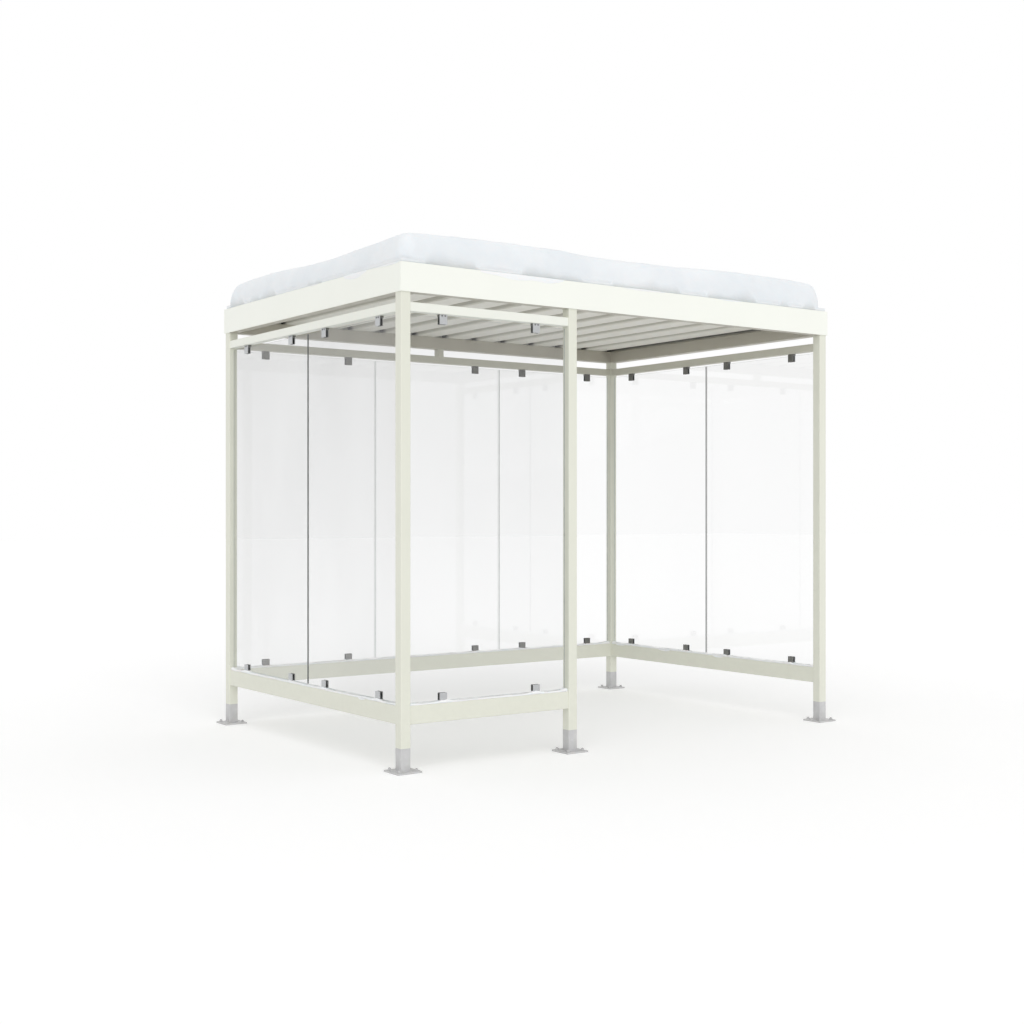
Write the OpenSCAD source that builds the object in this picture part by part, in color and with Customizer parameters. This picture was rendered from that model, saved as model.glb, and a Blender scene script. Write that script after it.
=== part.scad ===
/* [Frame] */
// Width of the frame over the outer faces of the corner posts
frame_w = 3290; // [2400:10:4200]
// Depth of the frame over the outer faces of the corner posts
frame_d = 2230; // [1600:10:3000]
// Height from the ground line to the top of the roof edge
roof_h = 2590; // [2200:10:3000]
// Side of the square posts
post_size = 60; // [50:1:100]
// Wall of every tube
tube_wall = 3; // [2:0.5:5]
// Outer corner radius of every tube
tube_round = 4; // [3:0.5:6]
// Clear width of the glazed bay beside the doorway
front_bay = 1067; // [500:1:1400]

/* [Roof] */
// Height of the roof beams
beam_h = 85; // [60:1:120]
// Height of the roof edge flashing
fascia_h = 157; // [150:1:220]
// How far the flashing stands out past the beams
fascia_out = 7; // [5:0.5:15]
// Sheet thickness of the flashing
fascia_t = 2; // [1:0.5:2.5]
// Width of the flashing's top return
fascia_cap = 50; // [20:1:80]
// Height of the hem that lies on the beam's face
fascia_hem = 25; // [10:1:50]
// Distance between the ribs of the deck
rib_pitch = 258; // [200:1:330]
// Width of a rib where it opens at the bottom
rib_open = 110; // [90:1:130]
// Width of a rib's flat top
rib_top = 60; // [40:1:80]
// Height of the ribs
rib_h = 45; // [30:1:55]
// Sheet thickness of the deck
deck_t = 1; // [0.7:0.1:1.5]

/* [Rails] */
// Side of the upper rails and of the strut above the back one
upper_rail = 50; // [40:1:60]
// Open gap between an upper rail and the roof beam above it
upper_gap = 52; // [30:1:100]
// Height of the lower rails
lower_rail_h = 100; // [60:1:120]
// Depth of the lower rails through the wall
lower_rail_d = 50; // [40:1:60]
// Open gap from the ground line to the lower rails
lower_gap = 124; // [60:1:200]

/* [Glass] */
// Thickness of the panes
glass_t = 8; // [6:1:12]
// Gap between a pane and the post beside it
glass_side = 10; // [5:1:30]
// Gap between two panes in one wall
glass_seam = 10; // [5:1:30]
// Play between a pane's top edge and the upper clamps
glass_play = 1; // [0.5:0.5:3]

/* [Clamps] */
// Width of a clamp along the wall
clamp_w = 48; // [30:1:60]
// Height of a clamp
clamp_h = 54; // [40:1:70]
// Depth of a clamp through the wall
clamp_d = 27; // [24:1:40]
// Height of the solid foot of a clamp, between rail and pane
clamp_base = 12; // [8:1:20]
// Clearance between a jaw and the pane on each side
jaw_play = 0.2; // [0.1:0.1:0.5]
// Place of the clamps on a pane, as the part of its width from each edge
clamp_share = 0.2; // [0.1:0.01:0.3]

/* [Feet] */
// Height of a foot from the underside of its plate to the ground line
foot_h = 130; // [80:5:300]
// Side of the square base plates
plate_size = 150; // [140:5:220]
// Thickness of the base plates
plate_t = 10; // [8:1:20]
// Distance between the anchor holes along each side
bolt_spacing = 105; // [100:1:110]
// Radius of the anchor holes
bolt_r = 7; // [5:0.5:10]

/* [Snow] */
// Height of the snow above the roof edge at its highest
snow_rise = 208; // [80:1:300]
// Height of the snow's rim
snow_rim = 22; // [10:1:60]
// How far the snow's rim lies inside the flashing's outer face
snow_inset = 12; // [0:1:60]
// Width of the band over which the snow rounds down to its rim
snow_round = 65; // [30:5:400]

/* [Hidden] */

$fn = 32;
// A little extra so that a cutter passes right through
past = 1;

// Heights, from the underside of the base plates
roof_top_z = foot_h + roof_h;
beam_z = roof_top_z - fascia_h;
deck_z = beam_z + beam_h;
rib_top_z = deck_z + rib_h + deck_t;
upper_rail_top_z = beam_z - upper_gap;
upper_rail_z = upper_rail_top_z - upper_rail;
lower_rail_z = foot_h + lower_gap;
lower_rail_top_z = lower_rail_z + lower_rail_h;
pane_z = lower_rail_top_z + clamp_base;
pane_h = upper_rail_z - clamp_base - glass_play - pane_z;

// Centre lines of the walls, and the spans between the posts
wall_x = frame_w / 2 - post_size / 2;
wall_y = frame_d / 2 - post_size / 2;
span_x = frame_w - 2 * post_size;
span_y = frame_d - 2 * post_size;
door_post_x = -wall_x + post_size + front_bay;

// The deck's ribs
rib_count = 2 * floor((frame_w - rib_open) / 2 / rib_pitch) + 1;
web_angle = atan2(rib_h, (rib_open - rib_top) / 2);
fold_shift = deck_t * tan(web_angle / 2);

// Half sizes of the snow, over the roof edge and down between its returns
snow_x = frame_w / 2 + fascia_out - snow_inset;
snow_y = frame_d / 2 + fascia_out - snow_inset;
snow_in_x = frame_w / 2 + fascia_out - fascia_cap;
snow_in_y = frame_d / 2 + fascia_out - fascia_cap;
snow_cells_x = 26;
snow_cells_y = 18;

// ---- Tubes ----

// A rounded rectangle, w along x and d along y, centred
module tube_outline(w, d) {
    square([w - 2 * tube_round, d], center = true);
    square([w, d - 2 * tube_round], center = true);
    for (sx = [-1, 1], sy = [-1, 1])
        translate([sx * (w / 2 - tube_round), sy * (d / 2 - tube_round)])
            circle(r = tube_round);
}

// A hollow tube that stands on z = 0
module tube(w, d, length) {
    linear_extrude(length)
        difference() {
            tube_outline(w, d);
            square([w - 2 * tube_wall, d - 2 * tube_wall], center = true);
        }
}

// A hollow tube that runs along +x from x = 0, d deep and h high, on z = 0
module rail(length, d, h) {
    translate([0, 0, h / 2])
        rotate([90, 0, 90])
            tube(d, h, length);
}

// ---- Places ----

// Each wall's own frame: x runs along the wall from the first post's face, y = 0 is the wall's centre line
module in_front_wall() {
    translate([-frame_w / 2 + post_size, -wall_y, 0])
        children();
}

module in_back_wall() {
    translate([-frame_w / 2 + post_size, wall_y, 0])
        children();
}

module in_left_wall() {
    translate([-wall_x, -frame_d / 2 + post_size, 0])
        rotate(90)
            children();
}

module in_right_wall() {
    translate([wall_x, -frame_d / 2 + post_size, 0])
        rotate(90)
            children();
}

// ---- Feet and posts ----

// A base plate with four anchor holes and a stub up to the ground line
module foot(x, y) {
    color("darkgray")
        translate([x, y, 0]) {
            difference() {
                translate([-plate_size / 2, -plate_size / 2, 0])
                    cube([plate_size, plate_size, plate_t]);
                for (sx = [-1, 1], sy = [-1, 1])
                    translate([sx * bolt_spacing / 2, sy * bolt_spacing / 2, -past])
                        cylinder(r = bolt_r, h = plate_t + 2 * past);
            }
            translate([0, 0, plate_t])
                tube(post_size, post_size, foot_h - plate_t);
        }
}

module foot_front_left() { foot(-wall_x, -wall_y); }
module foot_front_middle() { foot(door_post_x, -wall_y); }
module foot_front_right() { foot(wall_x, -wall_y); }
module foot_back_left() { foot(-wall_x, wall_y); }
module foot_back_right() { foot(wall_x, wall_y); }

// A post from the ground line to the underside of the roof beams
module post(x, y) {
    color("ivory")
        translate([x, y, foot_h])
            tube(post_size, post_size, beam_z - foot_h);
}

module post_front_left() { post(-wall_x, -wall_y); }
module post_front_middle() { post(door_post_x, -wall_y); }
module post_front_right() { post(wall_x, -wall_y); }
module post_back_left() { post(-wall_x, wall_y); }
module post_back_right() { post(wall_x, wall_y); }

// ---- Rails ----

module lower_rail(length) {
    color("ivory")
        translate([0, 0, lower_rail_z])
            rail(length, lower_rail_d, lower_rail_h);
}

module lower_rail_front() { in_front_wall() lower_rail(front_bay); }
module lower_rail_left() { in_left_wall() lower_rail(span_y); }
module lower_rail_right() { in_right_wall() lower_rail(span_y); }
module lower_rail_back() { in_back_wall() lower_rail(span_x); }

module upper_rail(length) {
    color("ivory")
        translate([0, 0, upper_rail_z])
            rail(length, upper_rail, upper_rail);
}

module upper_rail_front() { in_front_wall() upper_rail(front_bay); }
module upper_rail_left() { in_left_wall() upper_rail(span_y); }
module upper_rail_right() { in_right_wall() upper_rail(span_y); }
module upper_rail_back() { in_back_wall() upper_rail(span_x); }

// A short strut that holds the middle of the long back rail to the beam above
module back_strut() {
    color("ivory")
        translate([0, wall_y, upper_rail_top_z])
            tube(upper_rail, upper_rail, upper_gap);
}

// ---- Roof beams ----

// The front and back beams run the whole width, the side beams run between them
module roof_beam(length) {
    color("ivory")
        translate([0, 0, beam_z])
            rail(length, post_size, beam_h);
}

module roof_beam_front() { translate([-frame_w / 2, -wall_y, 0]) roof_beam(frame_w); }
module roof_beam_back() { translate([-frame_w / 2, wall_y, 0]) roof_beam(frame_w); }
module roof_beam_left() { in_left_wall() roof_beam(span_y); }
module roof_beam_right() { in_right_wall() roof_beam(span_y); }

// ---- Roof edge ----

// Section of the folded flashing: x is outward from the beam's face, y is up
module fascia_section() {
    polygon([
        [0, 0],
        [fascia_out, 0],
        [fascia_out, fascia_h],
        [fascia_out - fascia_cap, fascia_h],
        [fascia_out - fascia_cap, fascia_h - fascia_t],
        [fascia_out - fascia_t, fascia_h - fascia_t],
        [fascia_out - fascia_t, fascia_t],
        [fascia_t, fascia_t],
        [fascia_t, fascia_hem],
        [0, fascia_hem]
    ]);
}

// One side of the flashing, facing -y, with mitred ends. length and reach are those of the frame on that side
module fascia(length, reach) {
    half = length / 2 + fascia_out;
    face = reach / 2 + fascia_out;
    deep = 2 * fascia_cap;
    color("ivory")
        intersection() {
            translate([half, -reach / 2, beam_z])
                rotate([90, 0, -90])
                    linear_extrude(2 * half)
                        fascia_section();
            translate([0, 0, beam_z - past])
                linear_extrude(fascia_h + 2 * past)
                    polygon([
                        [-half, -face],
                        [half, -face],
                        [half - deep, deep - face],
                        [deep - half, deep - face]
                    ]);
        }
}

module fascia_front() { fascia(frame_w, frame_d); }
module fascia_right() { rotate(90) fascia(frame_d, frame_w); }
module fascia_back() { rotate(180) fascia(frame_w, frame_d); }
module fascia_left() { rotate(270) fascia(frame_d, frame_w); }

// ---- Deck ----

// Corners of one rib, moved out by shift and up by lift
function rib(centre, shift, lift) = [
    [centre - rib_open / 2 - shift, lift],
    [centre - rib_top / 2 - shift, rib_h + lift],
    [centre + rib_top / 2 + shift, rib_h + lift],
    [centre + rib_open / 2 + shift, lift]
];

function rib_centre(i) = (i - (rib_count - 1) / 2) * rib_pitch;

// One face of the sheet from left to right
function deck_line(shift, lift) = concat(
    [[-frame_w / 2, lift]],
    [for (i = [0 : rib_count - 1]) each rib(rib_centre(i), shift, lift)],
    [[frame_w / 2, lift]]
);

function backwards(list) = [for (i = [len(list) - 1 : -1 : 0]) list[i]];

// The folded sheet: its flats lie on the beams, its ribs run from front to back
module roof_deck() {
    color("gainsboro")
        translate([0, frame_d / 2, deck_z])
            rotate([90, 0, 0])
                linear_extrude(frame_d)
                    polygon(concat(deck_line(0, 0), backwards(deck_line(fold_shift, deck_t))));
}

// ---- Snow ----

// 1 well inside the snow, falling along a quarter round to 0 at its rim
function shoulder(p, half) =
    let (inside = min(1, (half - abs(p)) / snow_round))
    sqrt(max(0, 1 - pow(1 - inside, 2)));

// The wind's slow waves, between 0 and 1
function drift(x, y) =
    0.5 + 0.18 * sin(0.158 * x - 0.172 * y + 78) + 0.24 * sin(0.056 * x - 0.041 * y + 44)
    + 0.08 * cos(0.248 * y - 0.101 * x);

function snow_height(x, y) =
    snow_rim + (snow_rise - snow_rim) * shoulder(x, snow_x) * shoulder(y, snow_y) * (0.6 + 0.4 * drift(x, y));

// Places across the snow, closer together near its rim
function snow_place(i, cells, half) = half * sin(180 * i / cells - 90);

function snow_point(i, j, under) =
    let (x = snow_place(i, snow_cells_x, snow_x), y = snow_place(j, snow_cells_y, snow_y))
    [x, y, under ? roof_top_z : roof_top_z + snow_height(x, y)];

// The blanket over the roof edge, and the fill between the flashing's returns that rests on the ribs
module roof_snow() {
    cells_x = snow_cells_x;
    cells_y = snow_cells_y;
    row = cells_x + 1;
    top = [for (j = [0 : cells_y], i = [0 : cells_x]) snow_point(i, j, false)];
    // The rim's lower edge, once round from the front left corner
    rim = concat(
        [for (i = [0 : cells_x - 1]) snow_point(i, 0, true)],
        [for (j = [0 : cells_y - 1]) snow_point(cells_x, j, true)],
        [for (i = [cells_x : -1 : 1]) snow_point(i, cells_y, true)],
        [for (j = [cells_y : -1 : 1]) snow_point(0, j, true)]
    );
    // The points of the top's edge in the same order
    edge = concat(
        [for (i = [0 : cells_x - 1]) i],
        [for (j = [0 : cells_y - 1]) j * row + cells_x],
        [for (i = [cells_x : -1 : 1]) cells_y * row + i],
        [for (j = [cells_y : -1 : 1]) j * row]
    );
    fill = [
        for (z = [roof_top_z, rib_top_z], corner = [[-1, -1], [1, -1], [1, 1], [-1, 1]])
            [corner[0] * snow_in_x, corner[1] * snow_in_y, z]
    ];
    first_rim = len(top);
    first_fill = first_rim + len(rim);
    // Where each side starts on the rim
    turn = [0, cells_x, cells_x + cells_y, 2 * cells_x + cells_y, len(rim)];
    top_faces = [
        for (j = [0 : cells_y - 1], i = [0 : cells_x - 1])
            let (a = j * row + i)
            each [[a, a + row, a + row + 1], [a, a + row + 1, a + 1]]
    ];
    rim_faces = [
        for (i = [0 : len(rim) - 1])
            let (next = (i + 1) % len(rim))
            [edge[i], edge[next], first_rim + next, first_rim + i]
    ];
    under_faces = [
        for (side = [0 : 3])
            concat(
                [first_fill + side],
                [for (i = [turn[side] : turn[side + 1]]) first_rim + i % len(rim)],
                [first_fill + (side + 1) % 4]
            )
    ];
    fill_faces = [
        for (side = [0 : 3])
            let (a = first_fill + side, b = first_fill + (side + 1) % 4)
            [a, b, b + 4, a + 4]
    ];
    base_face = [[for (i = [0 : 3]) first_fill + 4 + i]];
    color("aliceblue")
        polyhedron(
            points = concat(top, rim, fill),
            faces = concat(top_faces, rim_faces, under_faces, fill_faces, base_face)
        );
}

// ---- Glass ----

function pane_w(span, count) = (span - 2 * glass_side - (count - 1) * glass_seam) / count;

function pane_start(span, count, i) = glass_side + i * (pane_w(span, count) + glass_seam);

// Pane i of a wall's row of equal panes
module pane(span, count, i) {
    color("lightcyan", 0.35)
        translate([pane_start(span, count, i), -glass_t / 2, pane_z])
            cube([pane_w(span, count), glass_t, pane_h]);
}

module glass_front() { in_front_wall() pane(front_bay, 1, 0); }
module glass_left_front() { in_left_wall() pane(span_y, 2, 0); }
module glass_left_back() { in_left_wall() pane(span_y, 2, 1); }
module glass_right_front() { in_right_wall() pane(span_y, 2, 0); }
module glass_right_back() { in_right_wall() pane(span_y, 2, 1); }
module glass_back_left() { in_back_wall() pane(span_x, 3, 0); }
module glass_back_middle() { in_back_wall() pane(span_x, 3, 1); }
module glass_back_right() { in_back_wall() pane(span_x, 3, 2); }

// ---- Clamps ----

// One clamp, standing on its foot, with the slot for the pane open at the top
module clamp() {
    slot = glass_t + 2 * jaw_play;
    difference() {
        translate([-clamp_w / 2, -clamp_d / 2, 0])
            cube([clamp_w, clamp_d, clamp_h]);
        translate([-clamp_w / 2 - past, -slot / 2, clamp_base])
            cube([clamp_w + 2 * past, slot, clamp_h]);
    }
}

// Two clamps to each pane of a wall, on the lower rail or turned over under the upper one
module clamp_row(span, count, upper) {
    color("silver")
        for (i = [0 : count - 1], share = [clamp_share, 1 - clamp_share])
            translate([
                pane_start(span, count, i) + share * pane_w(span, count),
                0,
                upper ? upper_rail_z : lower_rail_top_z
            ])
                rotate([upper ? 180 : 0, 0, 0])
                    clamp();
}

module lower_clamps_front() { in_front_wall() clamp_row(front_bay, 1, false); }
module lower_clamps_left() { in_left_wall() clamp_row(span_y, 2, false); }
module lower_clamps_right() { in_right_wall() clamp_row(span_y, 2, false); }
module lower_clamps_back() { in_back_wall() clamp_row(span_x, 3, false); }
module upper_clamps_front() { in_front_wall() clamp_row(front_bay, 1, true); }
module upper_clamps_left() { in_left_wall() clamp_row(span_y, 2, true); }
module upper_clamps_right() { in_right_wall() clamp_row(span_y, 2, true); }
module upper_clamps_back() { in_back_wall() clamp_row(span_x, 3, true); }

foot_front_left();
foot_front_middle();
foot_front_right();
foot_back_left();
foot_back_right();
post_front_left();
post_front_middle();
post_front_right();
post_back_left();
post_back_right();
lower_rail_front();
lower_rail_left();
lower_rail_right();
lower_rail_back();
upper_rail_front();
upper_rail_left();
upper_rail_right();
upper_rail_back();
back_strut();
roof_beam_front();
roof_beam_left();
roof_beam_right();
roof_beam_back();
fascia_front();
fascia_left();
fascia_right();
fascia_back();
roof_deck();
roof_snow();
glass_front();
glass_left_front();
glass_left_back();
glass_right_front();
glass_right_back();
glass_back_left();
glass_back_middle();
glass_back_right();
lower_clamps_front();
lower_clamps_left();
lower_clamps_right();
lower_clamps_back();
upper_clamps_front();
upper_clamps_left();
upper_clamps_right();
upper_clamps_back();
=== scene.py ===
# %% [markdown]
# # A glass shelter with snow on its roof
#
# The shelter is a welded steel frame. Its walls are plain sheets of glass held by small clamps, and its
# flat roof is a ribbed steel deck with a folded edge round it. All of it comes from an exact CAD model,
# which is loaded first and stays where it is. This file gives every surface its finish. It makes the
# panes, the clamps and the roof's snow again with more detail, in the places that the model gives, and
# adds what the model leaves out: the nuts on the anchor bolts, the screws in the clamps, and the snow on
# the rails.
#
# Everything is in metres. The floor is at z = 0, +X runs along the front, and +Y runs from front to back.

# %% Load the frame
import bpy
import math
import numpy as np
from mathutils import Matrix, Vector


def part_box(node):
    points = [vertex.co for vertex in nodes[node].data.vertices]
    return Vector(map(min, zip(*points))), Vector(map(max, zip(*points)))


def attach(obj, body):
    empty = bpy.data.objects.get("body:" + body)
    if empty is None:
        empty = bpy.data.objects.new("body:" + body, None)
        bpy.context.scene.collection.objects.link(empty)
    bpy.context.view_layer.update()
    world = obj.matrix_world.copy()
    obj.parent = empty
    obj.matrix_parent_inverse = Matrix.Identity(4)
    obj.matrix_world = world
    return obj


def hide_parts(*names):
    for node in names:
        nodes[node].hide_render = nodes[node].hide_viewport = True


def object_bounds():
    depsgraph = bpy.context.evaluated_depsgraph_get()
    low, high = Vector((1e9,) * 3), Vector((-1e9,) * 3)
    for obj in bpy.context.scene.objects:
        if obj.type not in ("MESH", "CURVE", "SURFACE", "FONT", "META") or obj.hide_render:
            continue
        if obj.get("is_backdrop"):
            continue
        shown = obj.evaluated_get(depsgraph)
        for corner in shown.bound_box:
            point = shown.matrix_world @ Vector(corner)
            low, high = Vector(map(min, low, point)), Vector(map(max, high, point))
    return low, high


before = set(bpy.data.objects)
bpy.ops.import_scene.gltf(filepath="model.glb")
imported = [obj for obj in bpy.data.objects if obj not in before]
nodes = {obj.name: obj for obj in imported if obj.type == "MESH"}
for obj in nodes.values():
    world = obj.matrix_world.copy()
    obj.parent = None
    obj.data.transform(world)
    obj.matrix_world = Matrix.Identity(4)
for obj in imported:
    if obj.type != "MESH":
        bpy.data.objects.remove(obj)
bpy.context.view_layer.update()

# %% [markdown]
# ## Sizes
#
# A size that can be read from the CAD model's nodes is read back from them, so that a clamp fits its pane
# and a mound of snow sits on its rail even if the frame is changed. What a node's box doesn't tell, such as
# the thickness of a foot's plate, is written here as a number.

# %% Sizes read from the CAD nodes
def corners(node):
    """The lowest and highest corner of a CAD node, as two arrays."""
    low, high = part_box(node)
    return np.array(low), np.array(high)


roof_top = corners("fascia_front")[1][2]
snow_low, snow_high = corners("roof_snow")
glass_half = np.ptp(np.array(corners("glass_front")), axis=0).min() / 2
print("roof edge", round(roof_top, 3), "snow", round(snow_high[2], 3), "half a pane", round(glass_half, 4))

# %% [markdown]
# ## Putting numpy arrays into a mesh
#
# Every new piece is worked out as whole arrays of points and faces. One helper turns them into a mesh
# object that moves with the frame. Faces go in with their corners anticlockwise as seen from outside, so
# that they point outwards.

# %% One helper for every new piece
def add_piece(name, points, faces, materials, slot, smooth=True, material_index=None):
    """Make a mesh object from points (n, 3) and face arrays, give it its materials and fix it to the frame.
    """
    mesh = bpy.data.meshes.new(name)
    rows = [row for block in faces for row in np.asarray(block).tolist()]
    mesh.from_pydata(np.asarray(points, float).tolist(), [], rows)
    for material in materials:
        mesh.materials.append(material)
    mesh.polygons.foreach_set("use_smooth", np.full(len(rows), smooth))
    if material_index is not None:
        mesh.polygons.foreach_set("material_index", np.asarray(material_index, np.int32))
    mesh.update()
    piece = bpy.data.objects.new(name, mesh)
    bpy.context.scene.collection.objects.link(piece)
    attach(piece, "root")
    print(name, len(mesh.vertices), "points", len(rows), "faces")
    return piece


def join(parts):
    """Join (points, [face arrays]) parts: each part's face numbers move up past the points before it."""
    points, faces, start = [], [], 0
    for part_points, part_faces in parts:
        points.append(part_points)
        faces += [np.asarray(block) + start for block in part_faces]
        start += len(part_points)
    return np.concatenate(points), faces


# %% [markdown]
# ## Node groups for effects that several finishes share
#
# Paint, zinc and stainless steel are different finishes, but they weather in the same ways. Each effect is
# a node group that gives out a mask or a height, and each material decides what to do with it. The groups
# read Object coordinates, which are in metres here, so a scale of 100 means features about a centimetre
# wide.

# %% Helpers that keep node code short
def new_group(name, inputs, outputs):
    """Start a shader node group with named float inputs (name, default) and outputs (name, socket type)."""
    group = bpy.data.node_groups.new(name, "ShaderNodeTree")
    for label, default in inputs:
        socket = group.interface.new_socket(label, in_out="INPUT", socket_type="NodeSocketFloat")
        socket.default_value = default
    for label, kind in outputs:
        group.interface.new_socket(label, in_out="OUTPUT", socket_type=kind)
    start = group.nodes.new("NodeGroupInput")
    end = group.nodes.new("NodeGroupOutput")
    return group, start, end


def node(tree, kind, **settings):
    """Add a node. A setting named after an input sets that input, and any other sets the node itself."""
    made = tree.nodes.new("ShaderNode" + kind)
    for key, value in settings.items():
        label = key.replace("_", " ")
        if label in made.inputs:
            made.inputs[label].default_value = value
        else:
            setattr(made, key, value)
    return made


def maths(tree, operation, first, second=None):
    """One Math node. first and second are sockets or numbers."""
    made = tree.nodes.new("ShaderNodeMath")
    made.operation = operation
    for index, value in enumerate((first, second)):
        if value is None:
            continue
        if isinstance(value, bpy.types.NodeSocket):
            tree.links.new(value, made.inputs[index])
        else:
            made.inputs[index].default_value = value
    return made.outputs[0]


def noise(tree, coordinates, scale, detail=2.0, stretch=None):
    """Noise on Object coordinates. stretch multiplies the three axes first, for streaks."""
    source = coordinates
    if stretch is not None:
        mapping = node(tree, "Mapping")
        mapping.inputs["Scale"].default_value = stretch
        tree.links.new(source, mapping.inputs["Vector"])
        source = mapping.outputs["Vector"]
    made = node(tree, "TexNoise", Detail=detail)
    if isinstance(scale, bpy.types.NodeSocket):
        tree.links.new(scale, made.inputs["Scale"])
    else:
        made.inputs["Scale"].default_value = scale
    tree.links.new(source, made.inputs["Vector"])
    return made.outputs["Fac"]


def ramp(tree, value, low, high, out_low=0.0, out_high=1.0):
    """Map Range: value from low to high becomes out_low to out_high, and stays inside them."""
    made = node(tree, "MapRange")
    for label, number in (("From Min", low), ("From Max", high), ("To Min", out_low), ("To Max", out_high)):
        if isinstance(number, bpy.types.NodeSocket):
            tree.links.new(number, made.inputs[label])
        else:
            made.inputs[label].default_value = number
    tree.links.new(value, made.inputs["Value"])
    return made.outputs["Result"]


def mix(tree, mask, first, second):
    """Mix two colours by a mask. Each colour is a socket or three numbers."""
    made = tree.nodes.new("ShaderNodeMix")
    made.data_type = "RGBA"
    tree.links.new(mask, made.inputs["Factor"])
    for label, value in ((6, first), (7, second)):
        if isinstance(value, bpy.types.NodeSocket):
            tree.links.new(value, made.inputs[label])
        else:
            made.inputs[label].default_value = (*value, 1.0)
    return made.outputs[2]


# %% The shared effects
def make_patches():
    """Broad soft patches: slow noise with its middle stretched out, from 0 to 1."""
    group, start, end = new_group("soft_patches", [("Scale", 3.0)], [("Mask", "NodeSocketFloat")])
    place = node(group, "TexCoord").outputs["Object"]
    value = noise(group, place, start.outputs["Scale"], detail=3.0)
    group.links.new(ramp(group, value, 0.35, 0.65), end.inputs["Mask"])
    return group


def make_peel():
    """The skin of a sprayed coat: fine even noise, with a slower one under it."""
    group, start, end = new_group("coat_skin", [("Scale", 350.0)], [("Height", "NodeSocketFloat")])
    place = node(group, "TexCoord").outputs["Object"]
    fine = noise(group, place, start.outputs["Scale"], detail=1.0)
    slow = noise(group, place, maths(group, "MULTIPLY", start.outputs["Scale"], 0.12), detail=1.0)
    group.links.new(maths(group, "ADD", fine, maths(group, "MULTIPLY", slow, 0.6)), end.inputs["Height"])
    return group


def make_splash():
    """Dust and splashes: strongest at the floor, gone at Reach above it, and broken up by noise."""
    group, start, end = new_group("ground_splash", [("Reach", 0.6)], [("Mask", "NodeSocketFloat")])
    place = node(group, "TexCoord").outputs["Object"]
    split = node(group, "SeparateXYZ")
    group.links.new(place, split.inputs[0])
    near = ramp(group, split.outputs["Z"], 0.0, start.outputs["Reach"], 1.0, 0.0)
    spots = ramp(group, noise(group, place, 26.0, detail=5.0), 0.4, 0.75)
    group.links.new(maths(group, "MULTIPLY", near, spots), end.inputs["Mask"])
    return group


patches, coat_skin, ground_splash = make_patches(), make_peel(), make_splash()
print("shared effects", [group.name for group in (patches, coat_skin, ground_splash)])


def effect(tree, group, output, **values):
    """Place a shared group in a material with its own values, and give back one of its outputs."""
    made = tree.nodes.new("ShaderNodeGroup")
    made.node_tree = group
    for key, value in values.items():
        made.inputs[key].default_value = value
    return made.outputs[output]


def new_material(name, **settings):
    """Start a material and set plain values straight on its Principled BSDF."""
    material = bpy.data.materials.new(name)
    material.use_nodes = True
    shader = material.node_tree.nodes["Principled BSDF"]
    for key, value in settings.items():
        shader.inputs[key.replace("_", " ")].default_value = value
    return material, material.node_tree, shader


def bump(tree, height, strength, distance):
    """A Bump node. distance is how many metres deep the height's 0 to 1 stands for."""
    made = node(tree, "Bump", Strength=strength, Distance=distance)
    tree.links.new(height, made.inputs["Height"])
    return made.outputs["Normal"]


# %% [markdown]
# ## Painted steel
#
# The frame is powder coated in a pale warm white. A coat like that is even, so a flat colour would nearly
# do, but it would look like plastic. What the eye picks up is a faint orange peel in the highlights, a
# slow drift in tone along a tube, and a little dust near the ground. The one coat is made in five tones,
# and four of them are painted light and shade. The roof's edge and the front and left upper rails get
# lighter copies as painted light, the posts and lower rails get the plain coat, and the other upper rails
# and the beams under the roof get darker copies as painted shade.

# %% Powder coat
paint_dust = (0.42, 0.40, 0.35)


def powder_coat(name, colour, shade, splash):
    """Paint of a colour that drifts a little towards its shade, with dust near the ground."""
    material, tree, shader = new_material(name, Specular_IOR_Level=0.4)
    drift = effect(tree, patches, "Mask", Scale=2.6)
    paint = mix(tree, drift, colour, shade)
    dust = maths(tree, "MULTIPLY", effect(tree, ground_splash, "Mask", Reach=0.75), splash)
    paint = mix(tree, dust, paint, paint_dust)
    tree.links.new(paint, shader.inputs["Base Color"])
    smooth = ramp(tree, effect(tree, patches, "Mask", Scale=11.0), 0.0, 1.0, 0.36, 0.46)
    dusty = maths(tree, "MULTIPLY", dust, 0.5)
    tree.links.new(maths(tree, "ADD", smooth, dusty), shader.inputs["Roughness"])
    skin = effect(tree, coat_skin, "Height", Scale=380.0)
    tree.links.new(bump(tree, skin, 0.25, 0.0003), shader.inputs["Normal"])
    return material


frame_paint = powder_coat("powder_coat_ivory", (0.785, 0.793, 0.697), (0.77, 0.777, 0.682), 0.08)
# The next two are the same coat made darker as painted shade, and the two after them lighter as painted
# light.
shaded_top_paint = powder_coat("powder_coat_dull", (0.665, 0.655, 0.57), (0.645, 0.635, 0.55), 0.0)
beam_painted_shade = powder_coat("powder_coat_beam", (0.53, 0.505, 0.435), (0.505, 0.48, 0.41), 0.0)
lit_rail_paint = powder_coat("powder_coat_light", (0.865, 0.88, 0.81), (0.85, 0.865, 0.795), 0.0)
lit_edge_paint = powder_coat("powder_coat_pale", (0.935, 0.95, 0.885), (0.925, 0.94, 0.875), 0.0)
print("paints", [paint.name for paint in (frame_paint, shaded_top_paint, beam_painted_shade, lit_rail_paint, lit_edge_paint)])
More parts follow.
